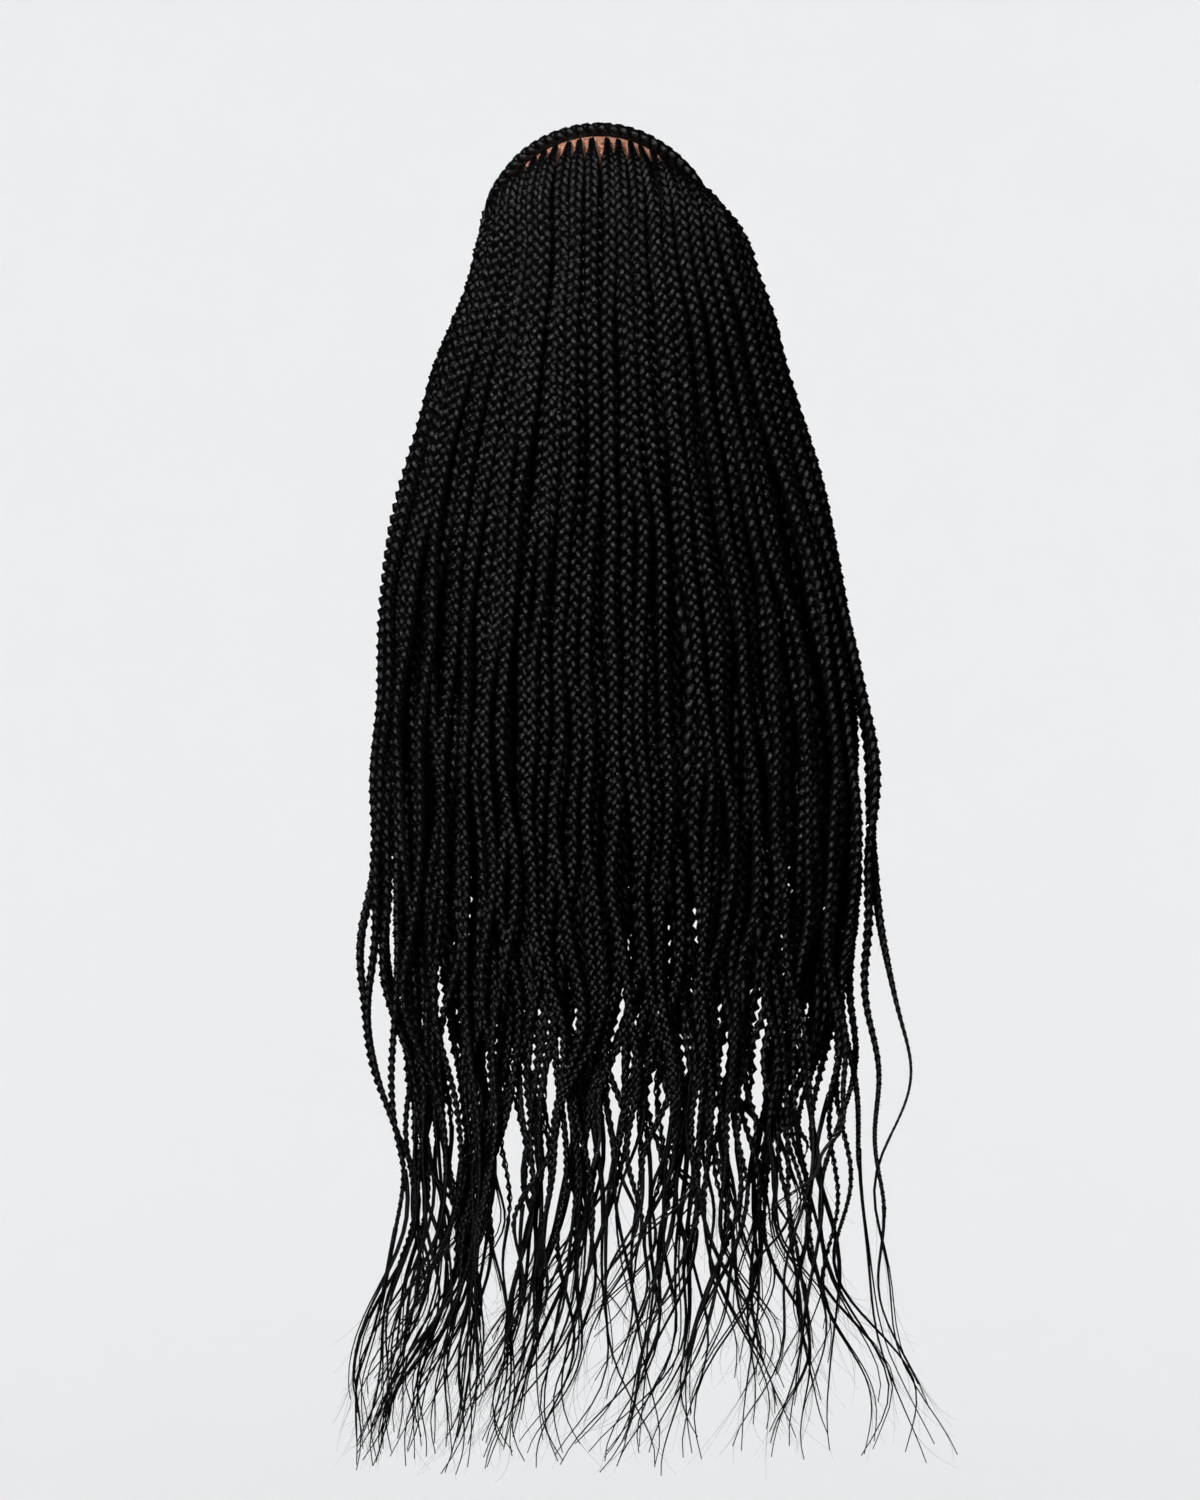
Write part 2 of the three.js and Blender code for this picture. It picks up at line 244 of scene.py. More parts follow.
# Stage: the round floor, its bend up into a wall, and each light's place, aim, size, watts and colour
MIDDLE_RADIUS = 0.01
FLAT_RADIUS = 4.5
BEND_RADIUS = 4.0
BEND_STEPS = 13
WALL_HEIGHT = 6.0
SWEEP_SIDES = 96
WIG_MIDDLE = (0.0, 0.0, -0.45)
WALL_MIDDLE = (0.0, 7.5, -0.3)
LIGHTS = (
    ("key", (-1.4, -3.5, 1.25), WIG_MIDDLE, (0.8, 0.8), 225.0, (1.0, 0.99, 0.98)),
    ("fill", (1.8, -4.0, 0.8), WIG_MIDDLE, (0.8, 0.8), 30.0, (0.92, 0.96, 1.0)),
    ("front_key", (0.0, 3.9, 0.1), WIG_MIDDLE, (0.9, 0.9), 170.0, (1.0, 0.99, 0.98)),
    ("left_wash", (-3.2, 2.2, 0.9), WALL_MIDDLE, (3.0, 2.0), 52.0, (1.0, 1.0, 1.0)),
    ("right_wash", (3.2, 2.2, 0.9), WALL_MIDDLE, (3.0, 2.0), 52.0, (1.0, 1.0, 1.0)),
)


# Settings


COLOUR = {"size": 3, "min": 0.0, "max": 1.0, "subtype": "COLOR"}


class WigHairSettings(bpy.types.PropertyGroup):
    braid_width: FloatProperty(
        name="Braid Width", description="Width of a braid below its root",
        default=0.0097, min=0.002, max=0.03, unit="LENGTH")
    plait_length: FloatProperty(
        name="Plait Length", description="Length in which a strand crosses over and back",
        default=0.0255, min=0.005, max=0.1, unit="LENGTH")
    strand_share: FloatProperty(
        name="Strand Thickness", description="Half a strand's thickness as a share of half the braid",
        default=0.43, min=0.1, max=1.0, subtype="FACTOR")
    side_swing: FloatProperty(
        name="Side Swing", description="How far a strand swings sideways, as the same share",
        default=0.61, min=0.0, max=1.0, subtype="FACTOR")
    face_swing: FloatProperty(
        name="Face Swing", description="How far a strand rises over the others, as the same share",
        default=0.50, min=0.0, max=1.0, subtype="FACTOR")
    loose_hairs: IntProperty(
        name="Loose Hairs", description="Short hairs that stand off each braid", default=16, min=0)
    tail_tufts: IntProperty(
        name="Tail Tufts", description="Thin tufts at the open end of each braid", default=2, min=1)
    tail_wisps: IntProperty(
        name="Tail Wisps", description="Fine hairs that part from each open end", default=9, min=0)
    colour: FloatVectorProperty(
        name="Hair", description="Colour of the hair", default=(0.0006, 0.0006, 0.0008), **COLOUR)
    light_colour: FloatVectorProperty(
        name="Light Fibres", description="Colour of the lighter fibres",
        default=(0.0009, 0.0009, 0.0012), **COLOUR)
    seed: IntProperty(name="Seed", description="Seed of the braids' wandering", default=7, min=0)


class WigCapSettings(bpy.types.PropertyGroup):
    colour: FloatVectorProperty(
        name="Lace", description="Colour of the lace threads", default=(0.54, 0.26, 0.155), **COLOUR)
    # Painted shade: the darker colour seen between the net's threads
    shade_colour: FloatVectorProperty(
        name="Lace Shade", description="Colour between the threads", default=(0.12, 0.036, 0.022),
        **COLOUR)
    net_pitch: FloatProperty(
        name="Net Pitch", description="Distance between the threads of the net",
        default=0.0028, min=0.0003, max=0.01, unit="LENGTH")


class WigStageSettings(bpy.types.PropertyGroup):
    floor_height: FloatProperty(
        name="Floor Height", description="Height of the floor below the cap", default=-1.70,
        max=-1.05, unit="LENGTH")
    floor_colour: FloatVectorProperty(
        name="Floor", description="Colour of the floor and the wall it bends into",
        default=(0.80, 0.80, 0.80), **COLOUR)
    camera_distance: FloatProperty(
        name="Camera Distance", description="From the camera to the cap's middle", default=4.5,
        min=1.0, unit="LENGTH")
    camera_height: FloatProperty(
        name="Camera Height", description="Height of the level camera", default=-0.4870,
        unit="LENGTH")
    view_height: FloatProperty(
        name="View Height", description="Height of the view at the braids", default=1.1614,
        min=0.1, unit="LENGTH")


# Form of the hair


def smooth(share):
    t = np.clip(share, 0.0, 1.0)
    return t * t * (3.0 - 2.0 * t)


def ramp(value, start, length):
    """0 up to the start and 1 a length beyond it, with a smooth rise between."""
    return smooth((value - start) / length)


def fade(value, end, length):
    """1 up to a length before the end and 0 beyond it, with a smooth fall between."""
    return smooth((end - value) / length)


def hanging(measure, drop):
    """A measure of the hanging sections at any drop, on a smooth curve through them."""
    x = HANGING["drop"]
    y = HANGING[measure]
    slope = np.gradient(y, x)
    i = np.clip(np.searchsorted(x, drop) - 1, 0, len(x) - 2)
    step = x[i + 1] - x[i]
    t = np.clip((drop - x[i]) / step, 0.0, 1.0)
    rise = smooth(t)
    start = t * (1.0 - t) ** 2
    end = -t * t * (1.0 - t)
    return y[i] + (y[i + 1] - y[i]) * rise + step * (slope[i] * start + slope[i + 1] * end)


def layer_point(side, turn, drop, out):
    """A point of the layer that lies out beyond the cap's inside.

    side is the angle off the middle, turn the angle over the cap about its left-to-right line,
    and drop the length that hangs below the cap's widest height."""
    s = np.radians(side)
    t = np.radians(turn)
    spread = np.where(side < 0.0, hanging("left", drop), hanging("right", drop))
    draw = 1.0 - BACK_DRAW * (drop / TIP_DROP) ** 2
    z = -CAP_RISE + (CAP_RISE + out) * np.cos(s) * np.cos(t) - drop
    fuller = np.where(side < 0.0, CROWN_FULLER_LEFT, CROWN_FULLER_RIGHT) * ramp(
        z, CROWN_FULLER_START, CROWN_FULLER_TOP - CROWN_FULLER_START)
    x = (CAP_HALF_WIDTH + out) * np.sin(s) * spread * (1.0 + fuller)
    y = -(CAP_HALF_LENGTH + out) * np.cos(s) * np.sin(t) * draw
    return np.stack(np.broadcast_arrays(x, y, z), axis=-1)


def points_and_outward(side, turn, drop, out):
    """Points of a layer, and the directions out of it."""
    point = layer_point(side, turn, drop, out)
    return point, layer_point(side, turn, drop, out + OUTWARD_STEP) - point


def side_scale(side, turn, drop, out):
    """Metres along a layer for one degree of side."""
    ahead = layer_point(side + 0.5, turn, drop, out)
    return np.linalg.norm(ahead - layer_point(side - 0.5, turn, drop, out), axis=-1)


def way_to(turn, drop):
    return turn * WAY_PER_DEGREE + drop


def turn_of(length, side):
    """Degrees of turn that a length over the cap takes up at a side angle."""
    return length / WAY_PER_DEGREE / np.cos(np.radians(side))


def thickness(row, side, way):
    swell = 1.0 + RIGHT_SWELL * np.maximum(0.0, np.sin(np.radians(side)))
    return LAYER * swell * smooth((way - way_to(row.turn, row.drop) + LAYER_LEAD) / LAYER_RAMP)


def out_at(row_index, side, way, depth):
    """Distance beyond the cap's inside at a share of the depth of a row's layer."""
    within = sum((thickness(row, side, way) for row in ROWS[:row_index]), np.zeros_like(way))
    return CAP_WALL + SEAT_GAP + within + thickness(ROWS[row_index], side, way) * depth


def lock_course(row_index, index, name):
    """The middle line of one lock from its roots to its tips, with its width on the way."""
    row = ROWS[row_index]
    cell = 2.0 * LOCK_SIDE / row.locks
    middle = -LOCK_SIDE + cell * (index + 0.5)
    phase = math.tau * (index * PHASE_PER_LOCK + row_index * PHASE_PER_ROW)
    longer = 1.0 + LENGTH_VARIATION * math.sin(LENGTH_WAVES * phase)
    root = way_to(row.turn, row.drop)
    way = np.linspace(root, way_to(BEHIND, TIP_DROP), COURSE_SAMPLES)
    turn = np.minimum(way / WAY_PER_DEGREE, BEHIND)
    drop = np.maximum(way - way_to(BEHIND, 0.0), 0.0)
    share = hanging("share", drop)
    place = drop * (longer + (1.0 - longer) * share)
    scale = side_scale(middle, turn, place, out_at(row_index, middle, way, 0.5))
    full = cell - GAP / scale
    clump = np.minimum(full, LOCK_WIDTH / scale)
    room = full + (clump - full) * ramp(drop, CLUMP_START, CLUMP_LENGTH)
    wave = np.sin(phase + math.tau * drop / SWAY_LENGTH) * smooth(drop / SWAY_START)
    centre = middle + (full - room * share) / 2.0 * SWAY_SHARE * wave
    swing = STRAY_TIPS.get(name, 0.0) * (drop / TIP_DROP) ** STRAY_POWER
    bow_out, bow_drop, bow_length, bow_thin = BOWS.get(name, NO_BOW)
    bow = bow_out * np.exp(-((drop - bow_drop) / bow_length) ** 2)
    thinner = bow_thin * smooth((drop - bow_drop) / (2.0 * bow_length) + 1.0)
    return Values(
        row=row, row_index=row_index, way=way, from_root=way - root, turn=turn, drop=drop,
        place=place, room=room, centre=centre, swing=swing, bow=bow, thinner=thinner)


def slow_wave(drop, rng):
    """A gentle wave along a braid between about -1 and 1."""
    wave = np.zeros_like(drop)
    for length, share in SLOW_WAVES:
        wave += share * np.sin(math.tau * (drop / length + rng.random()))
    return wave


# Guide lines that the braids and loose hairs follow


class Guides:
    """Lines with the values that the plaiting needs at each of their points."""

    def __init__(self):
        self.lines = []

    def add(
            self, point, half_width, along, plaited=False, phase=0.0, side=None, face=None,
            tone=EVEN_TONE):
        count = len(point)
        zero = np.zeros((count, 3))
        self.lines.append({
            "point": np.asarray(point, float),
            "half_width": np.broadcast_to(half_width, count),
            "along": np.broadcast_to(along, count),
            "plaited": np.full(count, plaited),
            "plait_phase": np.broadcast_to(phase, count),
            "side_dir": zero if side is None else side,
            "face_dir": zero if face is None else face,
            "tone": np.full(count, tone),
        })

    def to_object(self, name):
        mesh = bpy.data.meshes.new(name)
        edges = []
        start = 0
        for line in self.lines:
            count = len(line["point"])
            first = np.arange(start, start + count - 1)
            edges.append(np.column_stack((first, first + 1)))
            start += count
        points = np.concatenate([line["point"] for line in self.lines])
        mesh.from_pydata(points, np.concatenate(edges), [])
        for key, kind in (
            ("half_width", "FLOAT"), ("along", "FLOAT"), ("plaited", "BOOLEAN"),
            ("plait_phase", "FLOAT"), ("side_dir", "FLOAT_VECTOR"), ("face_dir", "FLOAT_VECTOR"),
            ("tone", "FLOAT"),
        ):
            values = np.concatenate([line[key] for line in self.lines]).ravel()
            socket = "vector" if kind == "FLOAT_VECTOR" else "value"
            mesh.attributes.new(key, kind, "POINT").data.foreach_set(socket, values)
        return new_object(name, mesh)


def new_object(name, data):
    made = bpy.data.objects.new(name, data)
    bpy.context.scene.collection.objects.link(made)
    return made


def unit(vectors):
    return vectors / np.maximum(np.linalg.norm(vectors, axis=-1, keepdims=True), 1e-9)


def run_along(point):
    steps = np.linalg.norm(np.diff(point, axis=0), axis=1)
    return np.concatenate(([0.0], np.cumsum(steps)))


def plait(guides, point, face, half_width, hair, style, tone=EVEN_TONE, twist=0.0):
    """Add one braid along a line of points, with a mark at every share of its style's plait."""
    along = run_along(point)
    slim = SLIM_PLAIT + (1.0 - SLIM_PLAIT) * half_width / (hair.braid_width / 2.0)
    turns = np.gradient(along) / (hair.plait_length * style.length * slim)
    phase = math.tau * np.cumsum(turns)
    phase -= phase[0]
    marks = np.arange(0.0, phase[-1], math.tau / style.marks)
    columns = np.column_stack((point, face, half_width, along, np.broadcast_to(twist, len(point))))
    even = np.stack([np.interp(marks, phase, column) for column in columns.T], axis=1)
    centre, outward, half, run, turned = np.split(even, (3, 6, 7, 8), axis=1)
    ahead = unit(np.gradient(centre, axis=0))
    side = unit(np.cross(ahead, outward))
    front = np.cross(side, ahead)
    c = np.cos(turned)
    s = np.sin(turned)
    mark = np.arange(len(marks))
    ends = smooth((mark + 1.0) / ROOT_MARKS) * fade(mark, len(marks), END_MARKS)
    guides.add(
        centre, half[:, 0] * ends, run[:, 0], plaited=True, phase=marks,
        side=side * c + front * s, face=front * c - side * s, tone=tone)


def off_braid(braid, n, rng):
    """A random direction away from one point of a braid."""
    angle = rng.uniform(0.0, math.tau)
    return np.cos(angle) * braid["side_dir"][n] + np.sin(angle) * braid["face_dir"][n]


def tail(guides, braid, point, half_width, hair, rng, tone):
    """Add the open end of a braid: one tapering tuft, thinner ones beside it and fine wisps."""
    share = np.linspace(0.0, 1.0, len(point))
    along = run_along(point)
    for number in range(hair.tail_tufts):
        first = number == 0
        beside = off_braid(braid, -1, rng)
        spread = 0.0 if first else rng.uniform(*TUFT.spread)
        offset = half_width * TUFT.offset * (1.0 - share) + spread * share ** 2
        count = len(point) if first else int(len(point) * rng.uniform(*TUFT.length))
        thick = half_width * (TUFT.first_width if first else rng.uniform(*TUFT.width))
        radius = TUFT.tip_radius + thick * (1.0 - np.linspace(0.0, 1.0, count)) ** TUFT.taper
        line = point + beside * offset[:, None]
        guides.add(line[:count], radius, along[:count], tone=tone)
    ahead = unit(np.gradient(point, axis=0))
    bend = np.linspace(0.0, 1.0, WISP.points)[:, None]
    first_quarter = len(point) // 4
    for _ in range(hair.tail_wisps):
        n = rng.integers(first_quarter, len(point) - 1)
        away = unit(rng.normal(size=3) * WISP.drift)
        length = rng.uniform(*WISP.length)
        line = point[n] + ahead[n] * length * bend
        line = line + away * length * rng.uniform(*WISP.bend) * bend ** 2
        if WISP_LIMITS[0] < line[-1, 0] < WISP_LIMITS[1] and line[-1, 2] > LOWEST:
            radius = WISP.radius * (WISP.taper - bend[:, 0])
            guides.add(line, radius, bend[:, 0] * length, tone=tone)


def fly_away(guides, braid, hair, rng, tone=EVEN_TONE):
    """Add short hairs that stand off a braid."""
    centre = braid["point"]
    ahead = unit(np.gradient(centre, axis=0))
    bend = np.linspace(0.0, 1.0, LOOSE_HAIR.points)[:, None]
    for _ in range(hair.loose_hairs):
        n = rng.integers(LOOSE_HAIR.ends, len(centre) - LOOSE_HAIR.ends)
        off = off_braid(braid, n, rng)
        length = rng.uniform(*LOOSE_HAIR.length)
        lift = rng.uniform(*LOOSE_HAIR.lift)
        root = centre[n] + off * braid["half_width"][n] * LOOSE_HAIR.root
        line = root + ahead[n] * length * bend + off * length * lift * bend ** LOOSE_HAIR.bend
        radius = LOOSE_HAIR.radius * (LOOSE_HAIR.taper - bend[:, 0])
        guides.add(line, radius, bend[:, 0] * length, tone=tone)


# Node trees


def add_node(tree, kind, settings=None, **inputs):
    """A node with its settings and inputs; an input is a value or another node's output."""
    node = tree.nodes.new(kind)
    for key, value in (settings or {}).items():
        setattr(node, key, value)
    for key, value in inputs.items():
        name = key.replace("_", " ")
        matches = [s for s in node.inputs if s.name == name and s.enabled]
        socket = matches[0] if matches else node.inputs[int(key.removeprefix("slot"))]
        if isinstance(value, bpy.types.NodeSocket):
            tree.links.new(value, socket)
        else:
            socket.default_value = value
    return node


def named_value(tree, name, kind="FLOAT"):
    node = add_node(tree, "GeometryNodeInputNamedAttribute", {"data_type": kind}, Name=name)
    return node.outputs["Attribute"]


def maths(tree, operation, a, b=0.0):
    node = add_node(tree, "ShaderNodeMath", {"operation": operation}, slot0=a, slot1=b)
    return node.outputs[0]


def scaled(tree, vector, factor):
    node = add_node(
        tree, "ShaderNodeVectorMath", {"operation": "SCALE"}, Vector=vector, Scale=factor)
    return node.outputs["Vector"]


def hair_section(tree, sides):
    """A round section whose points know how far round the strand they are."""
    ring = add_node(tree, "GeometryNodeCurvePrimitiveCircle", Resolution=sides, Radius=1.0)
    share = add_node(tree, "GeometryNodeSplineParameter").outputs["Factor"]
    stored = add_node(
        tree, "GeometryNodeStoreNamedAttribute", {"data_type": "FLOAT", "domain": "POINT"},
        Geometry=ring.outputs["Curve"], Name="around", Value=share)
    return stored.outputs["Geometry"]


def strand_skin(tree, curve, radius, sides):
    skin = add_node(
        tree, "GeometryNodeCurveToMesh", Curve=curve, Profile_Curve=hair_section(tree, sides),
        Scale=radius, Fill_Caps=True)
    return skin.outputs["Mesh"]


def plaiting_tree():
    """Plaits three strands along each guide line marked plaited, and skins the other lines."""
    tree = bpy.data.node_groups.new(PLAIT_TREE, "GeometryNodeTree")
    face = tree.interface
    face.new_socket("Geometry", in_out="OUTPUT", socket_type="NodeSocketGeometry")
    for name, kind in (
        ("Guides", "Geometry"), ("Strand Thickness", "Float"), ("Side Swing", "Float"),
        ("Face Swing", "Float"), ("Strand Sides", "Int"), ("Hair Sides", "Int"),
        ("Material", "Material"),
    ):
        face.new_socket(name, in_out="INPUT", socket_type=f"NodeSocket{kind}")
    given = tree.nodes.new("NodeGroupInput").outputs
    half_width = named_value(tree, "half_width")

    parts = add_node(
        tree, "GeometryNodeSeparateGeometry", {"domain": "POINT"}, Geometry=given["Guides"],
        Selection=named_value(tree, "plaited", "BOOLEAN"))

    # Three copies of a braid's line swing from side to side a third of a plait apart
    lines = add_node(tree, "GeometryNodeMeshToCurve", Mesh=parts.outputs["Selection"])
    strands = add_node(
        tree, "GeometryNodeDuplicateElements", {"domain": "SPLINE"},
        Geometry=lines.outputs["Curve"], Amount=STRANDS)
    third = maths(tree, "MULTIPLY", strands.outputs["Duplicate Index"], math.tau / STRANDS)
    phase = maths(tree, "ADD", named_value(tree, "plait_phase"), third)
    across = maths(tree, "MULTIPLY", maths(tree, "SINE", phase), given["Side Swing"])
    # A strand swells where it lies over the others
    double = maths(tree, "SINE", maths(tree, "MULTIPLY", phase, 2.0))
    swell = maths(tree, "ADD", maths(tree, "MULTIPLY", double, STRAND_SWELL), 1.0)
    over = maths(tree, "MULTIPLY", double, given["Face Swing"])
    aside = scaled(
        tree, named_value(tree, "side_dir", "FLOAT_VECTOR"),
        maths(tree, "MULTIPLY", across, half_width))
    lifted = scaled(
        tree, named_value(tree, "face_dir", "FLOAT_VECTOR"),
        maths(tree, "MULTIPLY", over, half_width))
    offset = add_node(tree, "ShaderNodeVectorMath", {"operation": "ADD"}, slot0=aside, slot1=lifted)
    moved = add_node(
        tree, "GeometryNodeSetPosition", Geometry=strands.outputs["Geometry"],
        Offset=offset.outputs["Vector"])
    thick = maths(
        tree, "MULTIPLY", maths(tree, "MULTIPLY", half_width, given["Strand Thickness"]), swell)
    plaited = strand_skin(tree, moved.outputs["Geometry"], thick, given["Strand Sides"])

    hairs = add_node(tree, "GeometryNodeMeshToCurve", Mesh=parts.outputs["Inverted"])
    loose = strand_skin(tree, hairs.outputs["Curve"], half_width, given["Hair Sides"])

    joined = tree.nodes.new("GeometryNodeJoinGeometry")
    tree.links.new(plaited, joined.inputs[0])
    tree.links.new(loose, joined.inputs[0])
    round_angle = maths(tree, "MULTIPLY", named_value(tree, "around"), math.tau)
    fibre = add_node(
        tree, "ShaderNodeCombineXYZ", X=maths(tree, "COSINE", round_angle),
        Y=maths(tree, "SINE", round_angle), Z=named_value(tree, "along"))
    stored = add_node(
        tree, "GeometryNodeStoreNamedAttribute", {"data_type": "FLOAT_VECTOR", "domain": "POINT"},
        Geometry=joined.outputs["Geometry"], Name="fibre", Value=fibre.outputs["Vector"])
    shaded = add_node(tree, "GeometryNodeSetShadeSmooth", Geometry=stored.outputs["Geometry"])
    real = add_node(tree, "GeometryNodeRealizeInstances", Geometry=shaded.outputs["Geometry"])
    painted = add_node(
        tree, "GeometryNodeSetMaterial", Geometry=real.outputs["Geometry"],
        Material=given["Material"])
    out = tree.nodes.new("NodeGroupOutput")
    tree.links.new(painted.outputs["Geometry"], out.inputs["Geometry"])
    return tree


def plaited_piece(name, guides, hair, strand_sides):
    """Run the plaiting tree over guide lines and keep the result as a plain mesh."""
    piece = guides.to_object(name)
    tree = bpy.data.node_groups.get(PLAIT_TREE) or plaiting_tree()
    modifier = piece.modifiers.new("Plait", "NODES")
    modifier.node_group = tree
    values = {
        "Strand Thickness": hair.strand_share, "Side Swing": hair.side_swing,
        "Face Swing": hair.face_swing, "Strand Sides": strand_sides, "Hair Sides": HAIR_SIDES,
        "Material": hair_material(hair),
    }
    for item in tree.interface.items_tree:
        if item.name in values:
            modifier[item.identifier] = values[item.name]
    made = piece.evaluated_get(bpy.context.evaluated_depsgraph_get())
    mesh = bpy.data.meshes.new_from_object(made)
    mesh.name = name
    lines = piece.data
    piece.modifiers.clear()
    piece.data = mesh
    bpy.data.meshes.remove(lines)
    return piece


def finish_piece(piece, node):
    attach(piece, "root")
    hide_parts(node)


# Materials


def new_material(name):
    material = bpy.data.materials.new(name)
    material.use_nodes = True
    tree = material.node_tree
    return material, tree, tree.nodes["Principled BSDF"]


def blend_colours(tree, shader, share, *stops):
    """Colour a shader by a share between two colours, each given with its place on that scale."""
    blend = add_node(tree, "ShaderNodeValToRGB", Fac=share)
    for element, (place, colour) in zip(blend.color_ramp.elements, stops):
        element.position = place
        element.color = (*colour, 1.0)
    tree.links.new(blend.outputs["Color"], shader.inputs["Base Color"])


def hair_material(hair):
    """Black braiding hair: fine fibres along each strand with a soft sheen."""
    name = "Black braiding hair"
    if name in bpy.data.materials:
        return bpy.data.materials[name]
    material, tree, shader = new_material(name)
    fibre = add_node(tree, "ShaderNodeAttribute", {"attribute_name": "fibre"}).outputs["Vector"]
    stretch = (3.5, 3.5, 130.0)
    drawn = add_node(
        tree, "ShaderNodeVectorMath", {"operation": "MULTIPLY"}, slot0=fibre, slot1=stretch)
    streaks = add_node(
        tree, "ShaderNodeTexNoise", Vector=drawn.outputs["Vector"], Scale=1.0, Detail=3.0,
        Roughness=0.6)
    blend_colours(
        tree, shader, streaks.outputs["Fac"], (0.38, hair.colour), (0.72, hair.light_colour))
    where = add_node(tree, "ShaderNodeTexCoord").outputs["Object"]
    specks = add_node(tree, "ShaderNodeTexNoise", Vector=where, Scale=620.0, Detail=2.0)
    rough = add_node(
        tree, "ShaderNodeMapRange", Value=specks.outputs["Fac"], From_Min=0.3, From_Max=0.7,
        To_Min=0.23, To_Max=0.40)
    tone = add_node(tree, "ShaderNodeAttribute", {"attribute_name": "tone"}).outputs["Fac"]
    duller = maths(tree, "ADD", rough.outputs["Result"], maths(tree, "MULTIPLY", tone, 0.08))
    tree.links.new(duller, shader.inputs["Roughness"])
    half_streaks = maths(tree, "MULTIPLY", streaks.outputs["Fac"], 0.5)
    relief = maths(tree, "ADD", specks.outputs["Fac"], half_streaks)
    bump = add_node(tree, "ShaderNodeBump", Strength=0.9, Distance=0.0009, Height=relief)
    tree.links.new(bump.outputs["Normal"], shader.inputs["Normal"])
    shader.inputs["Specular IOR Level"].default_value = 0.22
    return material


def lace_material(cap):
    """Tan lace: a fine net of crossed threads, with painted shade between them and a mottle of painted
    sparkle.
    """
    material, tree, shader = new_material("Tan lace net")
    place = add_node(tree, "ShaderNodeUVMap", {"uv_map": "cloth"}).outputs["UV"]
    threads = []
    for turn in (math.radians(45.0), math.radians(-45.0)):
        turned = add_node(tree, "ShaderNodeMapping", Vector=place, Rotation=(0.0, 0.0, turn))
        wave = add_node(
            tree, "ShaderNodeTexWave", {"bands_direction": "X"}, Vector=turned.outputs["Vector"],
            Scale=WAVE_BAND / cap.net_pitch, Distortion=0.6, Detail=1.0)
        threads.append(wave.outputs["Fac"])
    net = maths(tree, "MAXIMUM", threads[0], threads[1])
    where = add_node(tree, "ShaderNodeTexCoord").outputs["Object"]
    # Bright spots of this noise are painted sparkle on the lace
    patches = add_node(tree, "ShaderNodeTexNoise", Vector=where, Scale=300.0, Detail=3.0)
    sparkle_mottle = maths(tree, "ADD", maths(tree, "MULTIPLY", patches.outputs["Fac"], 2.0), -0.45)
    net_shade_and_sparkle = maths(tree, "MULTIPLY", net, sparkle_mottle)
    # Lace colour on the threads, painted shade between them, and painted sparkle where the mottle is
    # bright
    blend_colours(tree, shader, net_shade_and_sparkle, (0.15, cap.shade_colour), (0.65, cap.colour))
    bump = add_node(tree, "ShaderNodeBump", Strength=0.6, Distance=0.0004, Height=net)
    tree.links.new(bump.outputs["Normal"], shader.inputs["Normal"])
    shader.inputs["Roughness"].default_value = 0.8
    return material


def floor_material(stage):
    """Matte pale paper with a faint mottle."""
    material, tree, shader = new_material("Pale sweep")
    where = add_node(tree, "ShaderNodeTexCoord").outputs["Object"]
    mottle = add_node(tree, "ShaderNodeTexNoise", Vector=where, Scale=3.0, Detail=4.0)
    darker = [0.985 * c for c in stage.floor_colour]
    blend_colours(tree, shader, mottle.outputs["Fac"], (0.0, darker), (1.0, stage.floor_colour))
    shader.inputs["Roughness"].default_value = 0.95
    return material


# Pieces


def grid_faces(rows, columns, start, flip):
    a = (start + np.arange(rows - 1)[:, None] * columns + np.arange(columns - 1)).ravel()
    quads = np.column_stack((a, a + columns, a + columns + 1, a + 1))
    return quads[:, ::-1] if flip else quads


def lace_panel(node, turn, nape, material):
    """One panel of the cap, from rows with a turn and a share of the way down to the nape."""
    rows = len(turn)
    columns = CAP_ACROSS
    side = np.linspace(-CAP_SIDE, CAP_SIDE, columns)
    sheets = []
    for out in (CAP_WALL, 0.0):
        point = layer_point(side[None, :], turn[:, None], np.zeros((rows, columns)), out)
        tuck = 1.0 - CAP_NAPE_TUCK * ramp(nape, CAP_TUCK_START, 1.0 - CAP_TUCK_START)
        point[..., :2] *= tuck[:, None, None]
        point[..., 2] -= CAP_NAPE_DROP * nape[:, None] * np.cos(np.radians(side))[None, :]
        sheets.append(point.reshape(-1, 3))
    count = rows * columns
    edge = np.concatenate((
        np.arange(columns - 1), np.arange(rows - 1) * columns + columns - 1,
        (rows - 1) * columns + np.arange(columns - 1, 0, -1),
        np.arange(rows - 1, 0, -1) * columns))
    after = np.roll(edge, -1)
    rim = np.column_stack((edge, after, after + count, edge + count))
    faces = np.concatenate((
        grid_faces(rows, columns, 0, False), grid_faces(rows, columns, count, True), rim))
    mesh = bpy.data.meshes.new(f"{node}_net")
    mesh.from_pydata(np.concatenate(sheets), [], faces)
    mesh.shade_smooth()
    way = way_to(turn, nape * CAP_NAPE_DROP)
    narrower = np.cos(np.radians(turn * CLOTH_NARROWING))[:, None]
    across = np.radians(side)[None, :] * CAP_HALF_WIDTH * narrower
    flat = np.stack(np.broadcast_arrays(across, way[:, None]), axis=-1).reshape(-1, 2)
    flat = np.tile(flat, (2, 1))
    corners = np.empty(len(mesh.loops), dtype=np.int32)
    mesh.loops.foreach_get("vertex_index", corners)
    mesh.uv_layers.new(name="cloth").data.foreach_set("uv", flat[corners].ravel())
    mesh.materials.append(material)
    finish_piece(new_object(f"{node}_net", mesh), node)


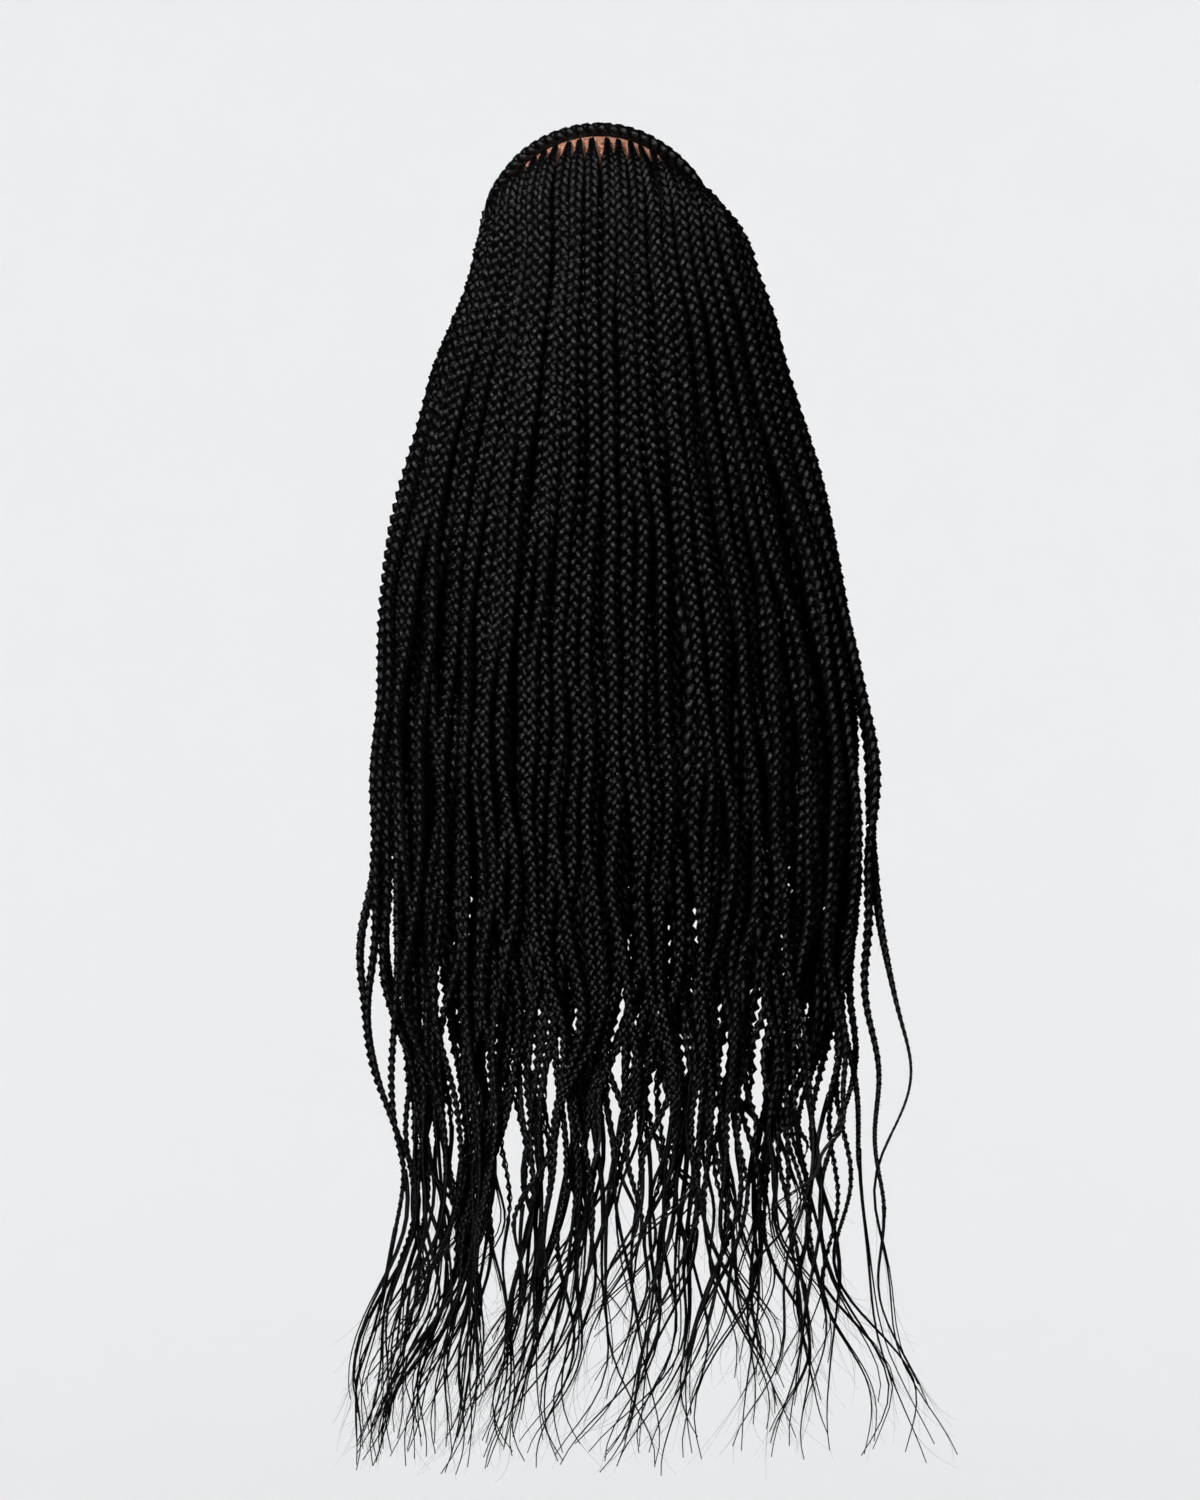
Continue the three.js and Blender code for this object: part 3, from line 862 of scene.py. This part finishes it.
class WIG_OT_lace_cap(bpy.types.Operator):
    """Make the lace cap as two fine panels that meet under the crown braid"""
    bl_idname = "wig.lace_cap"
    bl_label = "Lace Cap"

    def execute(self, context):
        material = lace_material(context.scene.wig_cap)
        turn = np.linspace(CAP_HAIRLINE, CAP_SEAM, CAP_FRONT_ROWS)
        lace_panel("lace_cap_front", turn, np.zeros(CAP_FRONT_ROWS), material)
        turn = np.concatenate((
            np.linspace(CAP_SEAM, BEHIND, CAP_BACK_ROWS), np.full(CAP_NAPE_ROWS, BEHIND)))
        nape = np.concatenate((np.zeros(CAP_BACK_ROWS), np.linspace(0.0, 1.0, CAP_NAPE_ROWS + 1)[1:]))
        lace_panel("lace_cap_back", turn, nape, material)
        return {"FINISHED"}


class WIG_OT_crown_braid(bpy.types.Operator):
    """Plait the thicker braid that arches over the crown"""
    bl_idname = "wig.crown_braid"
    bl_label = "Crown Braid"

    def execute(self, context):
        hair = context.scene.wig_hair
        half = CROWN_WIDTH / 2.0
        side = np.linspace(-CROWN_SIDE, CROWN_SIDE, CROWN_PLAIT.points)
        turn = CROWN_REAR - turn_of(half, side)
        lean = CROWN.lean * np.sign(side) * ramp(np.abs(side), *CROWN.lean_start)
        out = CAP_WALL + half * CROWN_PLAIT.seat + lean
        level = np.zeros_like(side)
        point, face = points_and_outward(side, turn, level, out)
        end = fade(np.abs(side), CROWN_SIDE, CROWN.taper)
        half_width = half * (CROWN.end_width + CROWN.more_width * end)
        guides = Guides()
        plait(guides, point, face, half_width, hair, CROWN_PLAIT)
        braid = guides.lines[0]
        core = layer_point(side, turn, level, out - half * CROWN.core_depth)
        guides.add(core, half * CROWN.core_width * end, run_along(core))
        rng = np.random.default_rng(hair.seed)
        for _ in range(CROWN.loose_rounds):
            fly_away(guides, braid, hair, rng)
        piece = plaited_piece("crown_plait", guides, hair, CROWN_PLAIT.sides)
        finish_piece(piece, "crown_braid")
        return {"FINISHED"}


class WIG_OT_cornrows(bpy.types.Operator):
    """Plait the flat cornrows between the hairline and the crown braid"""
    bl_idname = "wig.cornrows"
    bl_label = "Cornrows"

    def execute(self, context):
        hair = context.scene.wig_hair
        for n in range(CORNROWS):
            side = (n - (CORNROWS - 1) / 2.0) * CORNROW_PITCH
            end = CROWN_REAR - turn_of(CROWN_WIDTH + GAP, side)
            turn = np.linspace(CORNROW_START, end, CORNROW_PLAIT.points)
            half_width = CORNROW_HALF_WIDTH * ramp(turn - CORNROW_START, -CORNROW_LEAD, CORNROW_RAMP)
            out = CAP_WALL + SEAT_GAP + GAP + half_width * CORNROW_PLAIT.seat
            point, face = points_and_outward(side, turn, np.zeros_like(turn), out)
            guides = Guides()
            plait(guides, point, face, half_width, hair, CORNROW_PLAIT)
            piece = plaited_piece(f"cornrow_{n + 1}_plait", guides, hair, CORNROW_PLAIT.sides)
            finish_piece(piece, f"cornrow_{n + 1}")
        return {"FINISHED"}


def smoothed(values, way):
    """Values evened out over a short stretch of the way."""
    reach = int(round(OUT_SMOOTHING / (way[1] - way[0])))
    weights = np.hanning(4 * reach + 1)
    padded = np.pad(values, 2 * reach, mode="edge")
    return np.convolve(padded, weights / weights.sum(), mode="valid")


def shoulder(course, side):
    """Fullness of the outer braids where they fall over the sides of the cap."""
    row_share = SHOULDER.rows.get(course.row.name, 0.0)
    rise = ramp(course.from_root, *SHOULDER.rise)
    above = 1.0 - ramp(course.turn, *SHOULDER.above_end)
    below = ramp(course.turn, *SHOULDER.below) * (1.0 - ramp(course.drop, *SHOULDER.below_end))
    right = SHOULDER.right[0] * above + SHOULDER.right[1] * below
    left = SHOULDER.left[0] * above + SHOULDER.left[1] * below
    most = np.where(side > 0.0, right, left)
    return row_share * most * rise * ramp(np.abs(side), *SHOULDER.side)


def edge_fill(course, side):
    """How far the inner rows' outermost braids move out, to close the gaps between the outer ones."""
    deeper = len(ROWS) - 1 - course.row_index
    most = np.where(side > 0.0, EDGE_FILL.right, EDGE_FILL.left) * deeper ** EDGE_FILL.row_power
    hangs = ramp(course.drop, *EDGE_FILL.start) * fade(course.drop, *EDGE_FILL.end)
    return most * ramp(np.abs(side), *EDGE_FILL.side) * hangs


def tip_sweep(course, tip, rng):
    """How far a tip at a sideways place swings, within the limits of the hair."""
    turn = course.tip_turn * (1.0 - ramp(abs(tip), *TIP.turn_end))
    sweep = np.interp(tip, TIP_PLACES, TIP_SWEEPS) + turn
    return np.clip(tip + sweep + rng.normal(0.0, TIP.spread), *TIP_LIMITS) - tip


def braid_depth(course, rng):
    """Share of the depth of its layer at which a braid lies."""
    depth = 0.5 + PARTING.wave * ramp(course.drop, *PARTING.wave_start) * slow_wave(course.drop, rng)
    apart = rng.uniform(-PARTING.depth, PARTING.depth)
    depth += apart * ramp(course.from_root, *PARTING.depth_start)
    if course.row.name == "upper":
        depth += PARTING.upper_lift * (1.0 - ramp(course.drop, *PARTING.upper_lift_end))
    return depth


def braid_half_width(course, side, edge, outermost, hair):
    """Half a braid's width: pointed at its root, full where other rows hide it, thin at its tip."""
    rooted = np.interp(course.from_root, ROOT["way"], ROOT["width"])
    rooted += (1.0 - rooted) * ramp(np.abs(side), *ROOT_POINTED_END)
    filling = course.row.filling + EDGE.filling * edge
    filled = 1.0 + filling * ramp(course.drop, *FILLING_START) * fade(course.drop, *FILLING_END)
    width = np.interp(course.drop, BRAID["drop"], BRAID["width"]) * rooted * filled
    width *= 1.0 - course.thinner * outermost ** BOW_POWER
    return width * course.row.width * hair.braid_width / 2.0


def braid_lines(course, across, lock_wave, hair, rng):
    """Points, outward directions and half widths of one braid of a lock, down to its tip."""
    drop = course.drop
    near_tip = np.clip((drop - TAIL_START) / (TIP_DROP - TAIL_START), 0.0, 1.0)
    low = smooth(near_tip)
    wander = np.interp(drop, BRAID["drop"], BRAID["wander"]) * slow_wave(course.way, rng)
    wander += np.interp(drop, BRAID["drop"], BRAID["lock_wander"]) * lock_wave
    curl = PARTING.curl * rng.uniform(*PARTING.curl_share) * low
    phase = drop / course.curl_length + course.curl_phase
    phase += rng.uniform(-PARTING.curl_phase, PARTING.curl_phase)
    wander += curl * np.sin(math.tau * phase)
    loose = rng.uniform(-PARTING.across, PARTING.across) / course.row.braids
    edge = ramp(np.abs(course.centre + across * course.room), *EDGE.side)
    calm = 1.0 - EDGE.calm * edge * fade(drop, *EDGE.calm_end)
    wander *= calm
    apart = loose * calm * ramp(drop, *PARTING.across_start)
    side = course.centre + (across + apart) * course.room
    depth = braid_depth(course, rng)
    out = smoothed(out_at(course.row_index, side, course.way, depth), course.way)
    out += shoulder(course, side)
    out -= ROOT_SINK * (1.0 - ramp(course.from_root, *ROOT_SINK_END))
    shorter = 0.0 if course.swing[-1] > 0.0 else RIGHT_SHORTER
    reach = rng.uniform(*TIP.reach) - shorter * ramp(course.centre[-1], *TIP.shorter)
    longest = (-CAP_RISE - LOWEST) / course.place[-1] * rng.uniform(*TIP.longest)
    longer = 1.0 + low * min(longest - 1.0, reach)
    point, face = points_and_outward(side, course.turn, course.place * longer, out)
    outermost = OUTERMOST_OF_THREE * (across * np.sign(course.centre[0]) + 0.5)
    strays = course.swing * outermost ** SWING_POWER + course.bow * outermost ** BOW_POWER
    point[:, 0] += strays + wander
    point[:, 0] += edge_fill(course, side)
    point[:, 0] += tip_sweep(course, point[-1, 0], rng) * near_tip ** TIP.sweep_power
    point[:, 2] = np.maximum(point[:, 2], LOWEST)
    return point, face, braid_half_width(course, side, edge, outermost, hair)


def lock_piece(row_index, index, hair, rng):
    row = ROWS[row_index]
    node = f"{row.name}_lock_{index + 1}"
    course = lock_course(row_index, index, node)
    gather = rng.uniform(*LOCK.gather)
    tight = np.exp(-((course.drop - gather) / LOCK.gather_length) ** 2)
    course.room = course.room * (1.0 - LOCK.gather_share * tight)
    lock_wave = slow_wave(course.drop, rng)
    course.curl_length = rng.uniform(*LOCK.curl_length)
    course.curl_phase = rng.random()
    course.tip_turn = rng.normal(0.0, LOCK.tip_turn)
    guides = Guides()
    for number in range(row.braids):
        across = (number + 0.5 + row.shift) / row.braids - 0.5
        point, face, half_width = braid_lines(course, across, lock_wave, hair, rng)
        open_at = int(np.searchsorted(course.drop, rng.uniform(*LOCK.open_drop)))
        plaited = slice(ROOT_SAMPLE, open_at)
        twist = rng.uniform(*LOCK.twist) * slow_wave(course.drop, rng)
        tone = rng.random()
        plait(
            guides, point[plaited], face[plaited], half_width[plaited], hair, row, tone,
            twist[plaited])
        braid = guides.lines[-1]
        end = np.linspace(open_at - LOCK.tail_overlap, len(point) - 1, TAIL_SAMPLES).astype(int)
        tail(guides, braid, point[end], half_width[open_at], hair, rng, tone)
        fly_away(guides, braid, hair, rng, tone)
    finish_piece(plaited_piece(f"{node}_braids", guides, hair, row.sides), node)


class WIG_OT_hanging_braids(bpy.types.Operator):
    """Plait the rows of hanging braids, with their open ends and loose hairs"""
    bl_idname = "wig.hanging_braids"
    bl_label = "Hanging Braids"

    def execute(self, context):
        hair = context.scene.wig_hair
        rng = np.random.default_rng(hair.seed)
        for row_index, row in enumerate(ROWS):
            for index in range(row.locks):
                lock_piece(row_index, index, hair, rng)
        return {"FINISHED"}


def area_light(name, place, aim, size, power, colour):
    data = bpy.data.lights.new(name, "AREA")
    data.shape = "RECTANGLE"
    data.size, data.size_y = size
    data.energy = power
    data.color = colour
    light = new_object(name, data)
    light.location = place
    direction = np.subtract(aim, place)
    yaw = math.atan2(-direction[0], direction[1])
    pitch = math.atan2(direction[2], math.hypot(direction[0], direction[1]))
    light.rotation_euler = (math.pi / 2.0 + pitch, 0.0, yaw)


def sweep_mesh(floor_height):
    """A round floor that sweeps up into a wall."""
    angle = np.linspace(0.0, math.pi / 2.0, BEND_STEPS)
    edge = FLAT_RADIUS + BEND_RADIUS
    radius = np.concatenate(([MIDDLE_RADIUS], FLAT_RADIUS + BEND_RADIUS * np.sin(angle), [edge]))
    height = np.concatenate(([0.0], BEND_RADIUS * (1.0 - np.cos(angle)), [WALL_HEIGHT])) + floor_height
    around = np.linspace(0.0, math.tau, SWEEP_SIDES + 1)[:-1]
    ring = np.stack((np.cos(around), np.sin(around)), axis=-1)
    points = np.concatenate([
        np.column_stack((ring * r, np.full(SWEEP_SIDES, h))) for r, h in zip(radius, height)])
    faces = []
    for inner in range(0, (len(radius) - 1) * SWEEP_SIDES, SWEEP_SIDES):
        outer = inner + SWEEP_SIDES
        for n in range(SWEEP_SIDES):
            after = (n + 1) % SWEEP_SIDES
            faces.append((outer + n, outer + after, inner + after, inner + n))
    faces.append(tuple(range(SWEEP_SIDES)))
    mesh = bpy.data.meshes.new("sweep")
    mesh.from_pydata(points, [], faces)
    mesh.shade_smooth()
    return mesh


class WIG_OT_stage(bpy.types.Operator):
    """Set the pale floor and sweep, the soft lights and the level camera behind the wig"""
    bl_idname = "wig.stage"
    bl_label = "Stage"

    def execute(self, context):
        stage = context.scene.wig_stage
        mesh = sweep_mesh(stage.floor_height)
        mesh.materials.append(floor_material(stage))
        sweep = new_object("sweep", mesh)

        world = bpy.data.worlds.new("Soft sky")
        world.use_nodes = True
        sky = world.node_tree.nodes["Background"].inputs
        sky["Color"].default_value = (0.95, 0.97, 1.0, 1.0)
        sky["Strength"].default_value = 0.69
        context.scene.world = world
        # The hair mirrors the lights alone, not the pale sweep and sky around it
        sweep.visible_glossy = False
        world.cycles_visibility.glossy = False
        for light in LIGHTS:
            area_light(*light)
        context.scene.view_settings.view_transform = "Standard"

        data = bpy.data.cameras.new("camera")
        data.sensor_width = 36.0
        depth = stage.camera_distance - CAP_HALF_LENGTH
        data.lens = data.sensor_width * depth / stage.view_height
        camera = new_object("camera", data)
        camera.location = (0.0, -stage.camera_distance, stage.camera_height)
        camera.rotation_euler = (math.pi / 2.0, 0.0, 0.0)
        context.scene.camera = camera
        return {"FINISHED"}


class WIG_PT_panel(bpy.types.Panel):
    """Sizes, colours and steps of the wig"""
    bl_idname = "WIG_PT_panel"
    bl_label = "Braided Wig"
    bl_space_type = "VIEW_3D"
    bl_region_type = "UI"
    bl_category = "Wig"

    def draw(self, context):
        layout = self.layout
        for settings in (context.scene.wig_hair, context.scene.wig_cap, context.scene.wig_stage):
            box = layout.box()
            for name in settings.__annotations__:
                box.prop(settings, name)
        for step in STEPS:
            layout.operator(step.bl_idname)


SETTINGS = {"wig_hair": WigHairSettings, "wig_cap": WigCapSettings, "wig_stage": WigStageSettings}
STEPS = (
    WIG_OT_stage, WIG_OT_lace_cap, WIG_OT_crown_braid, WIG_OT_cornrows, WIG_OT_hanging_braids)


def register():
    for kind in (*SETTINGS.values(), *STEPS, WIG_PT_panel):
        bpy.utils.register_class(kind)
    for name, kind in SETTINGS.items():
        setattr(bpy.types.Scene, name, PointerProperty(type=kind))


def unregister():
    for name in SETTINGS:
        delattr(bpy.types.Scene, name)
    for kind in (WIG_PT_panel, *reversed(STEPS), *SETTINGS.values()):
        bpy.utils.unregister_class(kind)


def main():
    register()
    bpy.ops.wig.stage()
    bpy.ops.wig.lace_cap()
    bpy.ops.wig.crown_braid()
    bpy.ops.wig.cornrows()
    bpy.ops.wig.hanging_braids()


if __name__ == "__main__":
    main()
